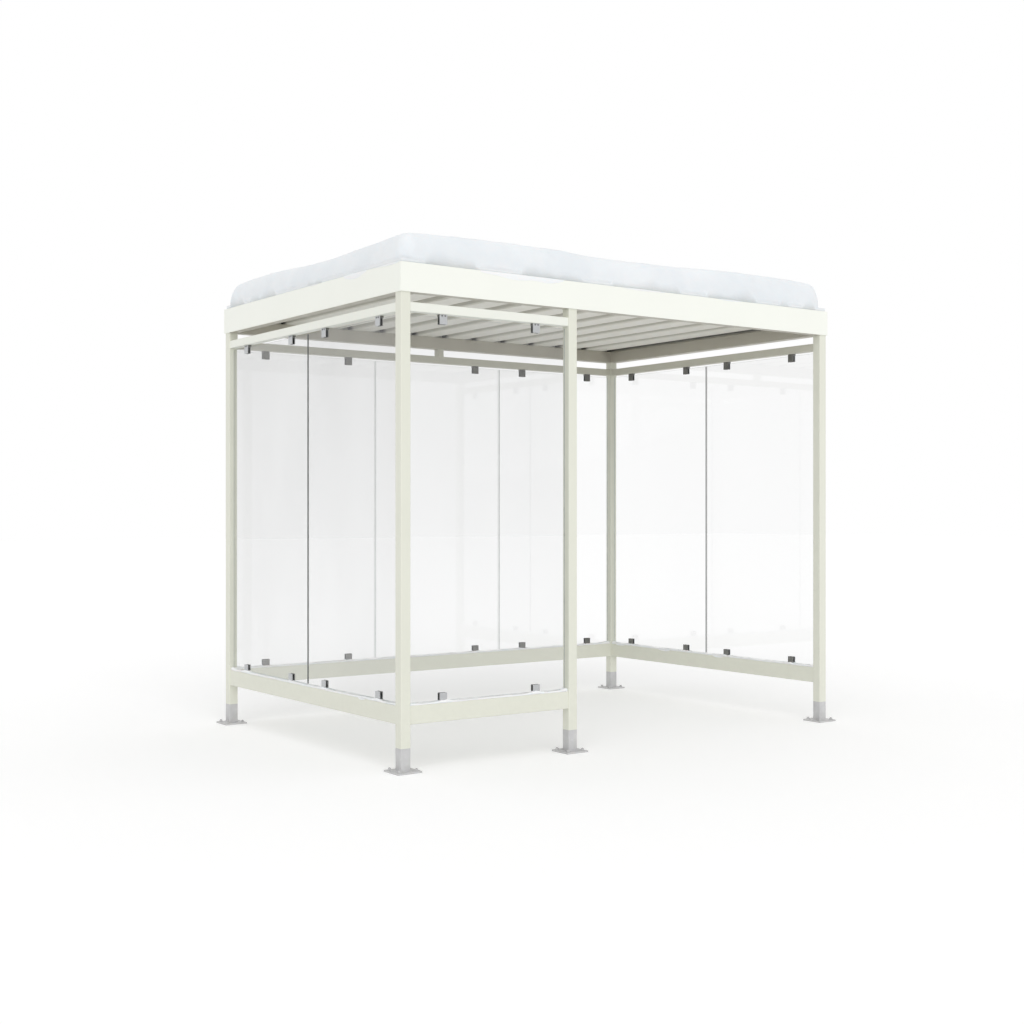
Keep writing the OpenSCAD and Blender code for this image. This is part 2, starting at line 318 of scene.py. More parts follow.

# %% [markdown]
# ## Coil-coated deck
#
# Deck sheet is painted flat in a coil and rolled to shape afterwards, so its gloss is lower and faint
# roller marks run along the ribs, which is along Y here. Stretching the noise along that axis makes them.
# Little light gets up into the ribs, and none where they end over the beams, so the coat is made darker
# inside the ribs as painted shade, and near-black where they end over the beams as painted shadow.

# %% Deck coating
deck_bottom = corners("roof_deck")[0][2]
beam_inside = [corners("roof_beam_right")[0][0], corners("roof_beam_back")[0][1]]
deck_tones = {"clean": (0.91, 0.895, 0.83), "soft": (0.89, 0.875, 0.805), "marked": (0.82, 0.80, 0.73)}
# The rib tone is painted shade, and the shut tone is a near-black painted shadow.
rib_painted_shade = (0.60, 0.585, 0.52)
shut_rib_painted_shadow = (0.05, 0.05, 0.048)
rib_fade = (0.003, 0.012)
beam_fade = (-0.03, 0.02)


def deck_coat():
    """Coil coating with roller marks along Y, painted shade inside the ribs and a near-black painted shadow
    over the beams.
    """
    material, tree, shader = new_material("coil_coat", Specular_IOR_Level=0.35)
    place = node(tree, "TexCoord").outputs["Object"]
    marks = noise(tree, place, 30.0, detail=3.0, stretch=(4.0, 0.06, 1.0))
    base = mix(tree, effect(tree, patches, "Mask", Scale=1.7), deck_tones["clean"], deck_tones["soft"])
    streaked = mix(tree, ramp(tree, marks, 0.45, 0.8, 0.0, 0.25), base, deck_tones["marked"])
    split = node(tree, "SeparateXYZ")
    tree.links.new(place, split.inputs[0])
    # Painted shade: the coat turns darker inside the ribs, and near-black where they end over the beams.
    in_rib = ramp(tree, split.outputs["Z"], deck_bottom + rib_fade[0], deck_bottom + rib_fade[1])
    ribbed = mix(tree, in_rib, streaked, rib_painted_shade)
    out = [maths(tree, "ABSOLUTE", split.outputs[axis]) for axis in "XY"]
    over = [ramp(tree, far, inside + beam_fade[0], inside + beam_fade[1])
            for far, inside in zip(out, beam_inside)]
    closed = maths(tree, "MULTIPLY", in_rib, maths(tree, "MAXIMUM", *over))
    tree.links.new(mix(tree, closed, ribbed, shut_rib_painted_shadow), shader.inputs["Base Color"])
    tree.links.new(ramp(tree, marks, 0.3, 0.7, 0.42, 0.55), shader.inputs["Roughness"])
    tree.links.new(bump(tree, marks, 0.15, 0.0004), shader.inputs["Normal"])
    return material


deck_paint = deck_coat()
print("deck sheet starts at", round(deck_bottom, 3))

# %% [markdown]
# ## Zinc and stainless steel
#
# The feet are dipped in zinc, which dries to a dull grey with soft spangles a centimetre or two across.
# Voronoi cells give the spangles their edges. The clamps are satin stainless steel. Its fine scratches lie
# level, so the noise is stretched hard along X and Y. Inside the clamp the same steel is made darker as
# painted shade, and the screws are blackened.

# %% Zinc and satin steel
zinc_dust = (0.45, 0.43, 0.40)


def zinc_coat():
    """Dull grey zinc with faint spangles and some dust at the floor."""
    material, tree, shader = new_material("dipped_zinc", Metallic=0.25, Specular_IOR_Level=0.5)
    place = node(tree, "TexCoord").outputs["Object"]
    cells = node(tree, "TexVoronoi", Scale=70.0)
    tree.links.new(place, cells.inputs["Vector"])
    tone = ramp(tree, cells.outputs["Color"], 0.0, 1.0)
    grey = mix(tree, tone, (0.60, 0.60, 0.60), (0.66, 0.66, 0.665))
    cloudy = mix(tree, effect(tree, patches, "Mask", Scale=14.0), grey, (0.56, 0.56, 0.565))
    dust = maths(tree, "MULTIPLY", effect(tree, ground_splash, "Mask", Reach=0.1), 0.35)
    tree.links.new(mix(tree, dust, cloudy, zinc_dust), shader.inputs["Base Color"])
    tree.links.new(ramp(tree, tone, 0.0, 1.0, 0.45, 0.6), shader.inputs["Roughness"])
    skin = effect(tree, coat_skin, "Height", Scale=200.0)
    tree.links.new(bump(tree, skin, 0.3, 0.0004), shader.inputs["Normal"])
    return material


def satin_steel(name, colour, shade):
    """Brushed stainless: fine scratches run along X and Y, and the tone drifts between two greys."""
    material, tree, shader = new_material(name, Metallic=0.85)
    place = node(tree, "TexCoord").outputs["Object"]
    scratches = noise(tree, place, 900.0, detail=2.0, stretch=(0.05, 0.05, 1.0))
    tree.links.new(mix(tree, ramp(tree, scratches, 0.3, 0.7), colour, shade), shader.inputs["Base Color"])
    tree.links.new(ramp(tree, scratches, 0.3, 0.7, 0.26, 0.42), shader.inputs["Roughness"])
    tree.links.new(bump(tree, scratches, 0.2, 0.0001), shader.inputs["Normal"])
    return material


zinc = zinc_coat()
clamp_steel = satin_steel("satin_stainless", (0.56, 0.57, 0.58), (0.47, 0.48, 0.49))
# The inner parts of a clamp are the same steel, made darker as painted shade.
shaded_inner_steel = satin_steel("dark_stainless", (0.22, 0.22, 0.21), (0.17, 0.17, 0.165))
screw_steel = satin_steel("blackened_steel", (0.06, 0.06, 0.06), (0.04, 0.04, 0.04))
print("metals", [metal.name for metal in (zinc, clamp_steel, shaded_inner_steel, screw_steel)])

# %% [markdown]
# ## Rubber, glass and glass edges
#
# Each clamp holds its pane in a black rubber liner, which shows at the clamp's two ends. The panes are
# clear, with a grey film over them that is denser towards the top and streaked. The film is painted
# reflection: it stands in for the faint grey reflections in the glass, and its tint is strongest on the
# left wall, weaker on the front and faint on the other two. Glass would throw a dark shadow here, so for
# shadow rays and bounced light a pane is a plain transparent sheet instead. The ground edge of a pane is
# cloudy, and is a dark line at a seam in a side wall, so edges have two materials.

# %% Rubber and glass
def rubber():
    """Black rubber with a slight bloom."""
    material, tree, shader = new_material("clamp_rubber", Specular_IOR_Level=0.3)
    bloom = effect(tree, patches, "Mask", Scale=60.0)
    black = mix(tree, bloom, (0.018, 0.018, 0.02), (0.035, 0.035, 0.036))
    tree.links.new(black, shader.inputs["Base Color"])
    tree.links.new(ramp(tree, bloom, 0.0, 1.0, 0.55, 0.75), shader.inputs["Roughness"])
    skin = effect(tree, coat_skin, "Height", Scale=800.0)
    tree.links.new(bump(tree, skin, 0.2, 0.0002), shader.inputs["Normal"])
    return material


light_through = (0.88, 0.885, 0.88)
film_from, film_to = 0.35, 2.3


def pane_glass(name, thin, thick):
    """Clear glass with a grey film, which is painted reflection, from the thin tint low down to the thick one
    at the top. Light gets through.
    """
    material, tree, shader = new_material(name, Roughness=0.0, IOR=1.46, Transmission_Weight=1.0)
    place = node(tree, "TexCoord").outputs["Object"]
    split = node(tree, "SeparateXYZ")
    tree.links.new(place, split.inputs[0])
    height = ramp(tree, split.outputs["Z"], film_from, film_to)
    # The film's streaks and its rise towards the top are painted reflection.
    streaks = noise(tree, place, 1.1, detail=4.0, stretch=(1.0, 1.0, 0.35))
    cloudy = ramp(tree, streaks, 0.35, 0.7, 0.0, 0.35)
    film = maths(tree, "ADD", maths(tree, "MULTIPLY", height, 0.65), cloudy)
    tree.links.new(mix(tree, film, thin, thick), shader.inputs["Base Color"])
    clear = node(tree, "BsdfTransparent")
    clear.inputs["Color"].default_value = (*light_through, 1.0)
    path = node(tree, "LightPath")
    soft = maths(tree, "MAXIMUM", path.outputs["Is Shadow Ray"], path.outputs["Is Diffuse Ray"])
    both = node(tree, "MixShader")
    tree.links.new(soft, both.inputs[0])
    tree.links.new(shader.outputs[0], both.inputs[1])
    tree.links.new(clear.outputs[0], both.inputs[2])
    tree.links.new(both.outputs[0], tree.nodes["Material Output"].inputs["Surface"])
    return material


def glass_edge(name, dark, pale, gloss):
    """The ground edge of a pane: grey-green, cloudy along its length. gloss sets how much it reflects."""
    material, tree, shader = new_material(name, Specular_IOR_Level=gloss)
    cloud = effect(tree, patches, "Mask", Scale=9.0)
    tree.links.new(mix(tree, cloud, dark, pale), shader.inputs["Base Color"])
    tree.links.new(ramp(tree, cloud, 0.0, 1.0, 0.12, 0.25), shader.inputs["Roughness"])
    return material


liner = rubber()
# The glass is the same in every wall; its tint differs from wall to wall only as painted reflection.
left_glass = pane_glass("pane_glass_left", (0.95, 0.952, 0.952), (0.75, 0.752, 0.752))
front_glass = pane_glass("pane_glass_front", (0.97, 0.972, 0.972), (0.87, 0.872, 0.872))
far_glass = pane_glass("pane_glass_back", (0.985, 0.987, 0.987), (0.95, 0.952, 0.952))
dark_edge = glass_edge("pane_edge_dark", (0.012, 0.016, 0.015), (0.02, 0.024, 0.023), 0.08)
pale_edge = glass_edge("pane_edge_pale", (0.50, 0.53, 0.52), (0.60, 0.63, 0.62), 0.5)
print("glass", [glass.name for glass in (left_glass, front_glass, far_glass, dark_edge, pale_edge)])

# %% [markdown]
# ## Snow
#
# Settled snow is bright and very rough, and light travels a little way into it, so its shadows are pale
# and blue. A subsurface weight does that. Its grain is too fine for a mesh and goes in the bump. The thin
# snow on the rails and over the roof's edge is given a whiter colour than the roof's, as painted light
# that brightens it where it lies in shade. It is also too thin for light to travel far in it, so it is a
# material of its own.

# %% Snow material
def settled_snow(name, hollow, crest, depth):
    """White snow between a bluer and a whiter tone, with a fine grain. Light travels depth metres into it."""
    material, tree, shader = new_material(
        name, Roughness=0.75, Specular_IOR_Level=0.25, Subsurface_Weight=0.35, Subsurface_Scale=depth,
        Sheen_Weight=0.35, Sheen_Roughness=0.45)
    shader.inputs["Subsurface Radius"].default_value = (0.8, 0.95, 1.0)
    place = node(tree, "TexCoord").outputs["Object"]
    tone = effect(tree, patches, "Mask", Scale=4.0)
    tree.links.new(mix(tree, tone, hollow, crest), shader.inputs["Base Color"])
    clods = noise(tree, place, 38.0, detail=4.0)
    grain = noise(tree, place, 420.0, detail=2.0)
    height = maths(tree, "ADD", clods, maths(tree, "MULTIPLY", grain, 0.25))
    tree.links.new(bump(tree, height, 0.5, 0.004), shader.inputs["Normal"])
    return material


snow = settled_snow("settled_snow", (0.80, 0.835, 0.865), (0.85, 0.875, 0.895), 0.03)
# This snow is made whiter than the roof's as painted light, for thin snow that lies in shade.
fresh_snow = settled_snow("fresh_snow", (0.93, 0.955, 0.975), (0.97, 0.98, 0.99), 0.001)
print("snow", snow.name, fresh_snow.name)

# %% [markdown]
# ## Dressing the CAD nodes
#
# A CAD node whose shape is right only needs its finish. Its material slots are simply assigned again.

# %% Finishes for the frame
def dress(name, material):
    """Give a CAD node one material in place of the plain one that it came with."""
    mesh = nodes[name].data
    mesh.materials.clear()
    mesh.materials.append(material)


# The beams and the back and right upper rails get the darker copies as painted shade, and the fascia and the
# front and left upper rails the lighter copies as painted light.
for name in nodes:
    if name.startswith("foot_"):
        dress(name, zinc)
    elif name.startswith("fascia_"):
        dress(name, lit_edge_paint)
    elif name == "roof_deck":
        dress(name, deck_paint)
    elif name.startswith("roof_beam_"):
        dress(name, beam_painted_shade)
    elif name in ("upper_rail_back", "upper_rail_right", "back_strut"):
        dress(name, shaded_top_paint)
    elif name in ("upper_rail_front", "upper_rail_left"):
        dress(name, lit_rail_paint)
    elif name.startswith(("post_", "lower_rail_")):
        dress(name, frame_paint)
print("dressed", len(nodes), "nodes")

# %% [markdown]
# ## Boxes with their edges taken off
#
# Panes and clamp plates are boxes, but a real edge is never sharp: it catches a thin line of light. A box
# whose twelve edges are cut at 45 degrees has 24 points, three at each corner. Each point is its corner,
# pulled in by the cut along two axes and left out on the third.

# %% The chamfered box
def chamfered_template():
    """Signs (24, 3) and out-standing axis (24,) of the points, with faces turned outwards."""
    signs = np.array([[x, y, z] for x in (-1, 1) for y in (-1, 1) for z in (-1, 1) for _ in range(3)], float)
    axis = np.tile(np.arange(3), 8)
    pull = 0.2
    place = signs * (1.0 - pull * (axis[:, None] != np.arange(3)))
    centres = [s * np.eye(3)[k] for k in range(3) for s in (-1, 1)]
    edges = [np.array(e, float) for e in ((0, a, b) for a in (-1, 1) for b in (-1, 1))]
    edges += [np.roll(e, shift) for e in edges[:4] for shift in (1, 2)]
    tips = [np.array([x, y, z], float) for x in (-1, 1) for y in (-1, 1) for z in (-1, 1)]
    faces = []
    for direction, count in [(c, 4) for c in centres] + [(e, 4) for e in edges] + [(t, 3) for t in tips]:
        along = direction / np.linalg.norm(direction)
        chosen = np.argsort(-(place @ along))[:count]
        side = np.cross(along, [0.31, 0.52, 0.79])
        side /= np.linalg.norm(side)
        spread = place[chosen] - place[chosen].mean(0)
        angle = np.arctan2(spread @ np.cross(along, side), spread @ side)
        faces.append(chosen[np.argsort(angle)])
    return signs, axis, np.array(faces[:18]), np.array(faces[18:])


box_signs, box_axis, box_quads, box_tips = chamfered_template()
print("a chamfered box has", len(box_signs), "points and", len(box_quads) + len(box_tips), "faces")


def chamfered_box(low, high, cut):
    """A box from two corners: each point is its corner, moved in by cut on two of the three axes."""
    low, high = np.asarray(low, float), np.asarray(high, float)
    half = (high - low) / 2 - cut * (box_axis[:, None] != np.arange(3))
    return (low + high) / 2 + box_signs * half, [box_quads, box_tips]


# %% [markdown]
# ## Panes
#
# Each pane has the size of its CAD node. The first six faces of a chamfered box are its flat sides, and
# the two large ones are clear glass. The narrow ones are edge, and the one at a seam in a side wall is a
# dark line.

# %% Eight panes
arris = 0.0008
clear_face, pale_line, dark_line = 0, 1, 2


def make_pane(name, wall, glass):
    """A pane with ground edges. Its large faces are clear, and the edge at a seam in a side wall is dark."""
    low, high = corners(name)
    points, faces = chamfered_box(low, high, arris)
    thin = int(np.argmin(high - low))
    along = 1 - thin
    index = np.full(len(box_quads) + len(box_tips), pale_line)
    index[[2 * thin, 2 * thin + 1]] = clear_face
    if wall in ("left", "right"):
        index[2 * along + int(low[along] + high[along] < 0)] = dark_line
    materials = [glass, pale_edge, dark_edge]
    pane_name = name.replace("glass_", "pane_")
    piece = add_piece(pane_name, points, faces, materials, "clear_glass", False, index)
    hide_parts(name)


wall_glass = {"left": left_glass, "front": front_glass, "right": far_glass, "back": far_glass}
for name in sorted(n for n in nodes if n.startswith("glass_")):
    wall = name.split("_")[1]
    make_pane(name, wall, wall_glass[wall])

# %% [markdown]
# ## Clamps
#
# A clamp is a steel U with a rubber liner on each side of the slot, which grips the pane. The CAD node has
# the outer shape and the place of each clamp, and holds several of them, so the clamps are found by
# splitting its points into clusters along the wall. Each then gets its cheeks, the bridge between them,
# its liners and two screws.

# %% Find the clamps
wide_gap = 0.06


def clamp_places(name):
    """Corner pairs of a node's clamps: its points sorted along the wall and split where a gap is wide."""
    mesh = nodes[name].data
    co = np.zeros(len(mesh.vertices) * 3)
    mesh.vertices.foreach_get("co", co)
    co = co.reshape(-1, 3)
    along = int(np.argmax(np.ptp(co, axis=0)))
    co = co[np.argsort(co[:, along])]
    cuts = np.nonzero(np.diff(co[:, along]) > wide_gap)[0] + 1
    return [(part.min(0), part.max(0)) for part in np.split(co, cuts)], along


# %% The parts of a clamp
cheek = 0.0058
bridge = 0.012
bridge_in = 0.0006
liner_in = 0.0012
cheek_cut = 0.0009
inner_cut = 0.0003


def clamp_parts(low, high, along, upper, outward):
    """Outer cheek, then inner cheek and bridge, then two liners. The bridge joins the cheeks at the rail."""
    through = 1 - along
    middle = (low[through] + high[through]) / 2
    slot_low, slot_high = low[through] + cheek, high[through] - cheek
    outer, inner, liners = [], [], []
    for side in (-1, 1):
        cheek_low, cheek_high = low.copy(), high.copy()
        pad_low, pad_high = low + liner_in, high - liner_in
        if side > 0:
            cheek_low[through] = slot_high
            pad_low[through], pad_high[through] = middle + glass_half, slot_high
        else:
            cheek_high[through] = slot_low
            pad_low[through], pad_high[through] = slot_low, middle - glass_half
        if upper:
            pad_high[2] = high[2] - bridge
        else:
            pad_low[2] = low[2] + bridge
        (outer if side == outward else inner).append(chamfered_box(cheek_low, cheek_high, cheek_cut))
        liners.append(chamfered_box(pad_low, pad_high, inner_cut))
    web_low, web_high = low.copy(), high.copy()
    web_low[through], web_high[through] = slot_low, slot_high
    web_low[along], web_high[along] = low[along] + bridge_in, high[along] - bridge_in
    if upper:
        web_low[2] = high[2] - bridge
    else:
        web_high[2] = low[2] + bridge
    inner.append(chamfered_box(web_low, web_high, inner_cut))
    return outer, inner, liners


print("clamp cheeks", cheek, "m thick, bridge", bridge, "m deep")

# %% [markdown]
# ## Turned parts
#
# Screws, nuts, washers and studs are all turned: a profile of radii and heights, carried round an axis.
# With six steps the same function makes a hexagon nut. The first and last radius are 0, so each end closes
# in one point.

# %% The turning function
def turned(radii, heights, steps):
    """Carry a profile round Z. Point (i, j) is radius i at angle j, and each end is one point."""
    radii, heights = np.asarray(radii, float), np.asarray(heights, float)
    angle = np.arange(steps) * 2 * math.pi / steps
    ring = np.stack([np.cos(angle), np.sin(angle)], 1)
    body = np.concatenate([np.column_stack([r * ring, np.full(steps, h)])
                           for r, h in zip(radii[1:-1], heights[1:-1])])
    points = np.concatenate([[[0, 0, heights[0]]], body, [[0, 0, heights[-1]]]])
    j = np.arange(steps)
    k = (j + 1) % steps
    rows = len(radii) - 2
    starts = 1 + np.arange(rows) * steps
    quads = [np.stack([a + j, a + k, b + k, b + j], 1) for a, b in zip(starts, starts[1:])]
    last = starts[-1]
    low_fan = np.stack([np.zeros(steps, int), 1 + k, 1 + j], 1)
    high_fan = np.stack([last + j, last + k, np.full(steps, len(points) - 1)], 1)
    return points, [*quads, low_fan, high_fan]


def place_part(part, origin, axis=2, flip=1.0):
    """Move a turned part to origin with its own Z along a world axis. flip -1 turns a level one round."""
    points, faces = part
    if axis == 0:
        moved = points[:, [2, 0, 1]] * ([1, 1, 1] if flip > 0 else [-1, -1, 1])
    elif axis == 1:
        moved = points[:, [0, 2, 1]] * ([-1, 1, 1] if flip > 0 else [1, -1, 1])
    else:
        moved = points
    return moved + np.asarray(origin, float), faces


# %% Plates, liners and screws for every clamp
head_radius, head_rim, socket_radius = 0.0042, 0.0036, 0.0022
head_foot, head_side, head_top, socket_floor = -0.001, 0.0007, 0.0013, 0.0001
head = turned([0, head_radius, head_radius, head_rim, socket_radius, socket_radius, 0],
              [head_foot, head_foot, head_side, head_top, head_top, socket_floor, socket_floor], 16)
screw_pitch = 0.02
screw_rise = 0.0075
outward_side = {"front": -1, "left": -1, "right": 1, "back": 1}

for name in sorted(n for n in nodes if "_clamps_" in n):
    places, along = clamp_places(name)
    through = 1 - along
    upper = name.startswith("upper")
    outward = outward_side[name.split("_")[-1]]
    outer, inner, rubber_parts, screws = [], [], [], []
    for low, high in places:
        parts = clamp_parts(low, high, along, upper, outward)
        outer += parts[0]
        inner += parts[1]
        rubber_parts += parts[2]
        face = high[through] if outward > 0 else low[through]
        for side in (-0.5, 0.5):
            spot = np.zeros(3)
            spot[along] = (low[along] + high[along]) / 2 + side * screw_pitch
            spot[through] = face
            spot[2] = high[2] - screw_rise if upper else low[2] + screw_rise
            screws.append(place_part(head, spot, through, outward))
    where = name.replace("_clamps", "")
    outer_piece = add_piece("clamp_plates_" + where, *join(outer), [clamp_steel], "stainless_steel", False)
    # The backs and bridges take the darker steel, which is painted shade.
    add_piece("clamp_backs_" + where, *join(inner), [shaded_inner_steel], "stainless_steel", False)
    add_piece("clamp_liners_" + where, *join(rubber_parts), [liner], "stainless_steel", False)
    add_piece("clamp_screws_" + where, *join(screws), [screw_steel], "stainless_steel", False)
    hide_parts(name)

# %% [markdown]
# ## Anchor nuts
#
# Four bolts stand in the foundation under each foot. Above the plate there is a washer, a hexagon nut and
# the end of the stud, whose thread is a row of small ridges in its profile.

# %% Nuts, washers and studs
# The thickness of a foot's plate and half the distance between its bolts, as in the CAD model.
plate_top = 0.010
bolt_offset = 0.0525

washer_radius, washer_cut, washer_side, washer_top = 0.012, 0.0115, 0.0018, 0.0022
washer = turned([0, washer_radius, washer_radius, washer_cut, 0],
                [0, 0, washer_side, washer_top, washer_top], 24)

nut_radius, nut_cut, nut_low, nut_high, nut_top = 0.0105, 0.0098, 0.0030, 0.0096, 0.0106
nut = turned([0, nut_cut, nut_radius, nut_radius, nut_cut, 0],
             [washer_top, washer_top, nut_low, nut_high, nut_top, nut_top], 6)

thread_crest, thread_root, thread_tip = 0.0060, 0.0053, 0.0046
thread_start, thread_step, stud_top = 0.009, 0.00087, 0.0152
turns = np.arange(7)
thread_radii = np.concatenate([[0], np.where(turns % 2 == 0, thread_crest, thread_root), [thread_tip, 0]])
thread_heights = np.concatenate([[thread_start], thread_start + turns * thread_step, [stud_top, stud_top]])
stud = turned(thread_radii, thread_heights, 16)

anchors = []
for name in sorted(n for n in nodes if n.startswith("foot_")):
    low, high = corners(name)
    centre = (low + high) / 2
    for x in (-bolt_offset, bolt_offset):
        for y in (-bolt_offset, bolt_offset):
            origin = (centre[0] + x, centre[1] + y, plate_top)
            anchors += [place_part(part, origin) for part in (washer, nut, stud)]
add_piece("anchor_nuts", *join(anchors), [zinc], "galvanised_steel", False)

# %% [markdown]
# ## Snow on the roof
#
# The snow is a height over the roof's plan. It rises steeply from its rim along a quarter round and then
# rolls gently, which is a rounded shoulder times a few slow waves. The same waves shape the CAD model's
# snow. On top come lumps of three sizes, made by smoothing a grid of random numbers. Noise of that kind
# also moves the shoulder in and out a little, which makes soft folds down the sides. A height field can be
# one big array, so the whole blanket is worked out at once.

# %% Smooth random lumps
lattice = 512
lattice_offset = 200.0


def lumps(x, y, cell, seed):
    """Value noise from -1 to 1: random numbers on a lattice of the given cell, blended with a smooth step."""
    table = np.random.default_rng(seed).uniform(-1, 1, (lattice, lattice))
    u, v = x / cell + lattice_offset, y / cell + lattice_offset
    i, j = np.floor(u).astype(int), np.floor(v).astype(int)
    a, b = u - i, v - j
    a, b = a * a * (3 - 2 * a), b * b * (3 - 2 * b)
    i, j, i2, j2 = i % lattice, j % lattice, (i + 1) % lattice, (j + 1) % lattice
    return (table[i, j] * (1 - a) * (1 - b) + table[i2, j] * a * (1 - b)
            + table[i, j2] * (1 - a) * b + table[i2, j2] * a * b)


# %% The snow's height
# The rounding, the rim and the full height are the CAD model's own.
snow_half = (snow_high[:2] - snow_low[:2]) / 2
snow_rise = snow_high[2] - roof_top
snow_round = 0.065
snow_rim = 0.022
snow_most = 0.208
snow_least = 0.004
snow_corner = 0.10
crown_reach = 0.55
soft_top = 0.016
print("snow", [round(2 * half, 2) for half in snow_half], "up to", round(snow_rise, 3), "high")


def shoulder(inside, reach):
    """0 at the rim and 1 once reach is passed, along a quarter circle."""
    t = np.clip(inside / reach, 0, 1)
    return np.sqrt(np.clip(1 - (1 - t) ** 2, 0, 1))


def inside_edge(x, y):
    """Distance in from the blanket's edge, the lesser of the two ways, with the corners rounded in plan."""
    in_x, in_y = snow_half[0] - np.abs(x), snow_half[1] - np.abs(y)
    short = np.hypot(np.clip(snow_corner - in_x, 0, None), np.clip(snow_corner - in_y, 0, None))
    return np.where(short > 0, snow_corner - short, np.minimum(in_x, in_y))


def snow_height(x, y):
    """Rim, plus the rise times the shoulder and the wind's waves. Noise moves the edge, which makes folds."""
    waves = (0.5 + 0.18 * np.sin(np.radians(158 * x - 172 * y + 78))
             + 0.24 * np.sin(np.radians(56 * x - 41 * y + 44))
             + 0.08 * np.cos(np.radians(248 * y - 101 * x)))
    folds = 0.007 * lumps(x, y, 0.15, 6) + 0.003 * lumps(x, y, 0.06, 7)
    inside = inside_edge(x, y)
    both = shoulder(inside + folds, snow_round) * (0.95 + 0.10 * shoulder(inside, crown_reach))
    height = snow_rim + (snow_most - snow_rim) * both * (0.6 + 0.4 * waves)
    for size, cell, seed in ((0.004, 0.28, 3), (0.0022, 0.09, 4), (0.0008, 0.03, 5)):
        height = height + both * size * lumps(x, y, cell, seed)
    limit = snow_rise - soft_top
    height = np.where(height > limit, limit + soft_top * np.tanh((height - limit) / soft_top), height)
    return np.clip(height, snow_least, snow_rise)


def snow_blanket(columns, rows):
    """The top surface on a grid that is finer near the rim, closed below by a fan to the middle."""
    u = snow_half[0] * np.sin(np.linspace(-math.pi / 2, math.pi / 2, columns))
    v = snow_half[1] * np.sin(np.linspace(-math.pi / 2, math.pi / 2, rows))
    x, y = np.meshgrid(u, v)
    top = np.stack([x, y, roof_top + snow_height(x, y)], -1).reshape(-1, 3)
    a = (np.arange(rows - 1)[:, None] * columns + np.arange(columns - 1)).ravel()
    quads = np.stack([a, a + 1, a + columns + 1, a + columns], 1)
    edge = np.concatenate([np.arange(columns - 1), np.arange(rows - 1) * columns + columns - 1,
                           rows * columns - 1 - np.arange(columns - 1),
                           (rows - 1 - np.arange(rows - 1)) * columns])
    foot = top[edge] * [1, 1, 0] + [0, 0, roof_top]
    first = len(top)
    i = np.arange(len(edge))
    k = (i + 1) % len(edge)
    skirt = np.stack([edge[i], first + i, first + k, edge[k]], 1)
    under = np.stack([np.full(len(edge), first + len(edge)), first + k, first + i], 1)
    return np.concatenate([top, foot, [[0, 0, roof_top]]]), [quads, skirt, under]


blanket = add_piece("snow_blanket", *snow_blanket(300, 220), [snow], "snow")
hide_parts("roof_snow")

# %% [markdown]
# ## Snow on the rails
#
# A thin line of snow has settled on the flat tops of the lower rails. It heaps up against the clamps and
# the posts. Each line is a strip along its rail with a domed cross-section, whose height follows noise and
# rises near those obstacles.

# %% Lines of snow
line_height, line_noise = 0.0078, 0.0028
line_least, line_most = 0.003, 0.0215
clamp_mound, end_mound, mound_reach = 0.0085, 0.0095, 0.055
line_margin = 0.0015
line_step = 0.008
line_across = 13


def line_heap(place, low, high, spots, seed):
    """Height along a rail: noise of two sizes, plus a bell curve at each spot and at each end."""
    coarse = lumps(place, place * 0 + seed, 0.11, seed)
    fine = lumps(place, place * 0, 0.035, seed + 1)
    heap = line_height + line_noise * (coarse + 0.6 * fine)
    for spot, size in [(p, clamp_mound) for p in spots] + [(low, end_mound), (high, end_mound)]:
        heap = heap + size * np.exp(-((place - spot) / mound_reach) ** 2)
    return np.clip(heap, line_least, line_most)


def snow_line(name, clamps_name, seed):
    """A domed strip on a rail: the heap along it times (1 - t^4)^0.4 across it, t from -1 to 1."""
    low, high = corners(name)
    along = int(np.argmax(high - low))
    across = 1 - along
    length = high[along] - low[along]
    s = np.linspace(0, 1, int(length / line_step))
    t = np.linspace(-1, 1, line_across)
    place = low[along] + s * length
    spots = [(a[along] + b[along]) / 2 for a, b in clamp_places(clamps_name)[0]]
    heap = line_heap(place, low[along], high[along], spots, seed)
    wander = 1 - 0.10 * (1 + lumps(place, place * 0 + 3.0, 0.07, seed + 2)) / 2
    half = ((high[across] - low[across]) / 2 - line_margin) * wander
    row, side = np.meshgrid(np.arange(len(s)), t, indexing="ij")
    dome = np.clip(1 - side ** 4, 0, 1) ** 0.4
    points = np.zeros((len(s), len(t), 3))
    points[..., along] = place[row]
    points[..., across] = (low[across] + high[across]) / 2 + side * half[row]
    grain = 1 + 0.18 * lumps(place[row], side * 0.02, 0.012, seed + 3)
    points[..., 2] = np.maximum(high[2] + heap[row] * dome * grain, high[2])
    count = len(t)
    starts = np.arange(len(s)) * count
    a = (starts[:-1, None] + np.arange(count - 1)).ravel()
    quads = np.stack([a, a + count, a + count + 1, a + 1], 1)
    last = count - 1
    under = np.stack([starts[:-1], starts[:-1] + last, starts[1:] + last, starts[1:]], 1)
    ends = [np.arange(count)[None, :], (starts[-1] + np.arange(count))[None, ::-1]]
    blocks = [quads, under, *ends]
    if along == 1:
        blocks = [block[:, ::-1] for block in blocks]
    return points.reshape(-1, 3), blocks


rail_lines = [snow_line(f"lower_rail_{side}", f"lower_clamps_{side}", 20 + i * 10)
              for i, side in enumerate(("front", "left", "right", "back"))]
add_piece("rail_snow", *join(rail_lines), [fresh_snow], "snow")

# %% [markdown]
# ## Lips of snow over an edge
#
# In a few places the roof's snow has slid a little and hangs over the edge as a thin white lip, and so
# does the snow on two of the lower rails. A lip is one closed outline, which starts on top of the edge,
# bends over it and thins out down the face. It is carried along the edge while its size swells and dies
# away again, and a small face closes each end.

# %% Hanging lips
lip_out = np.array([0.0, 0.55, 0.9, 1.0, 0.85, 0.6, 0.33, 0.12, 0.0])
lip_fall = np.array([0.0, 0.0, 0.06, 0.2, 0.45, 0.68, 0.85, 0.95, 1.0])
lip_top = 0.0015
wall_gap = 0.0008
lip_step = 0.005
fewest_steps = 24


